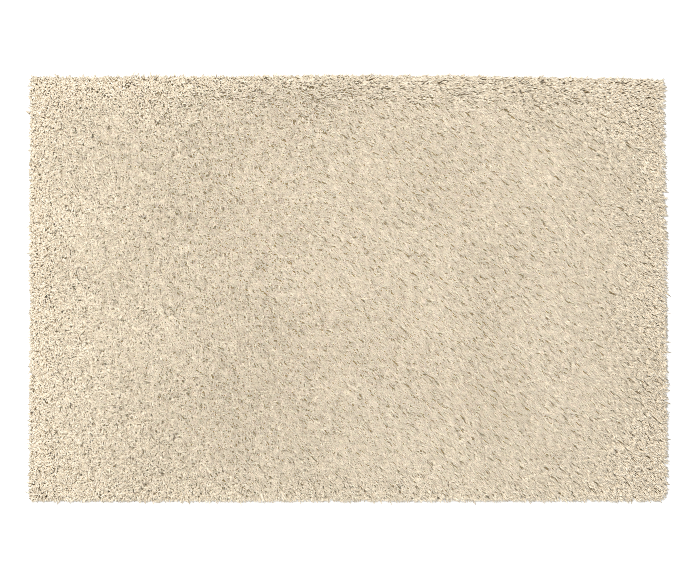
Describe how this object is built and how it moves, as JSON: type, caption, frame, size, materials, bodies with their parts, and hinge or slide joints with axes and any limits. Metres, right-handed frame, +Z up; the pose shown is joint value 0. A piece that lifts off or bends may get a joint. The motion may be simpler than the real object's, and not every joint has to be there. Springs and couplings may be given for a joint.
{
  "type": "shag rug",
  "caption": "Rectangular shag rug with deep cream cut pile that leans over towards one short side, lying flat on its backing.",
  "frame": {"origin": "middle of the underside, on the floor", "axes": "+X along the long side, towards which the pile leans; +Y along the short side, towards the back edge; +Z up, out of the pile"},
  "size_m": [1.8, 1.2, 0.0318],
  "materials": {
    "pile": "matt cut-pile yarn, cream"
  },
  "bodies": {
    "root": {"rug": "pile"}
  },
  "joints": []
}
